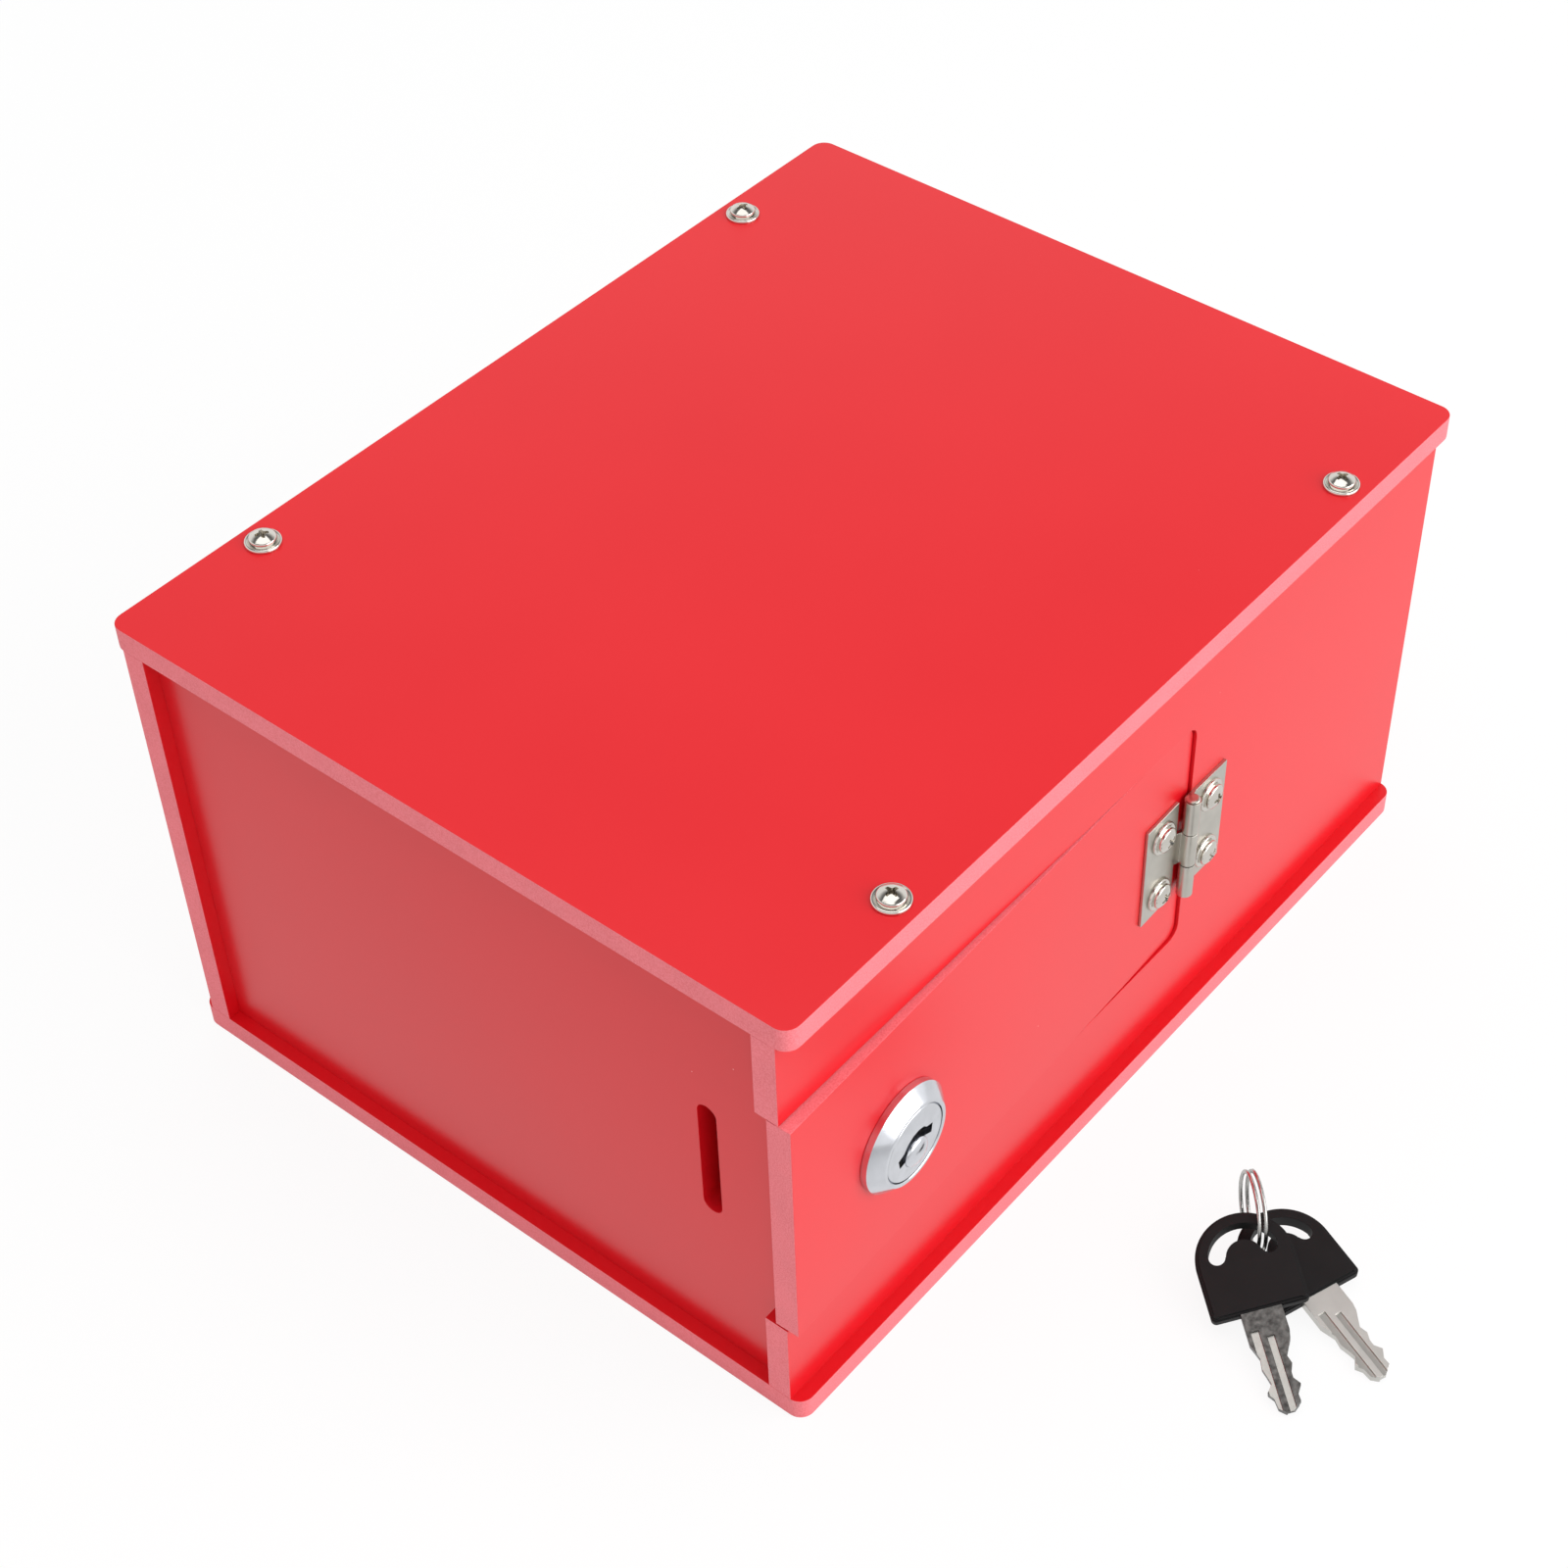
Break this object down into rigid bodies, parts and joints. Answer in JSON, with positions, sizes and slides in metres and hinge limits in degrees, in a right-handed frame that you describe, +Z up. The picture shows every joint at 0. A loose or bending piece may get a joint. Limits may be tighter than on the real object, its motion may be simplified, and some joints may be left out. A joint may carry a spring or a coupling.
{
  "type": "ballot box",
  "caption": "Small red foam-board ballot box with overhanging top and bottom plates, a hinged locking door low on its side, and its keys on a split ring in front",
  "frame": {"origin": "middle of the box's underside, on the surface that it stands on", "axes": "+X along the door side towards the hinge end, +Y from the door side to the back, +Z up"},
  "size_m": [0.2, 0.2328, 0.1077],
  "materials": {
    "board": "satin red foam board with finely pored cut edges",
    "screw_nickel": "nickel-plated steel, bright",
    "hinge_nickel": "nickel-plated sheet steel, satin",
    "lock_chrome": "chrome-plated zinc, polished",
    "wafer_brass": "plain stamped brass",
    "spring_steel": "plain bright steel",
    "key_plastic": "matte black moulded plastic",
    "key_nickel": "nickel-plated brass, lightly worn"
  },
  "bodies": {
    "box": {"bottom_plate": "board", "top_plate": "board", "front_panel": "board", "back_panel": "board", "left_panel": "board", "right_panel": "board", "plate_screws": "screw_nickel", "hinge_frame_leaf": "hinge_nickel", "hinge_pin": "hinge_nickel", "hinge_frame_screws": "screw_nickel"},
    "door": {"door": "board", "hinge_door_leaf": "hinge_nickel", "hinge_door_screws": "screw_nickel", "lock_body": "lock_chrome", "lock_nut": "screw_nickel"},
    "lock_core": {"lock_plug": "lock_chrome", "lock_wafers": "wafer_brass", "lock_wafer_springs": "spring_steel", "lock_stop_disc": "spring_steel", "lock_cam": "spring_steel", "cam_washer": "screw_nickel", "cam_screw": "screw_nickel", "lock_shutter": "lock_chrome"},
    "keys": {"key_ring": "spring_steel", "key_a_bow": "key_plastic", "key_a_blade": "key_nickel", "key_b_bow": "key_plastic", "key_b_blade": "key_nickel"}
  },
  "joints": [
    {"name": "door_hinge", "type": "hinge", "parent": "box", "child": "door", "pos_m": [0.0177, -0.0768, 0.0523], "axis": [0, 0, 1], "range_deg": [-0.8, 150]},
    {"name": "lock_turn", "type": "hinge", "parent": "door", "child": "lock_core", "pos_m": [-0.07083, -0.07684, 0.0527], "axis": [0.0253, -0.9997, 0], "range_deg": [0, 90]},
    {"name": "keys_lift", "type": "slide", "parent": "box", "child": "keys", "axis": [0, 0, 1], "range_m": [0, 0.1]}
  ]
}
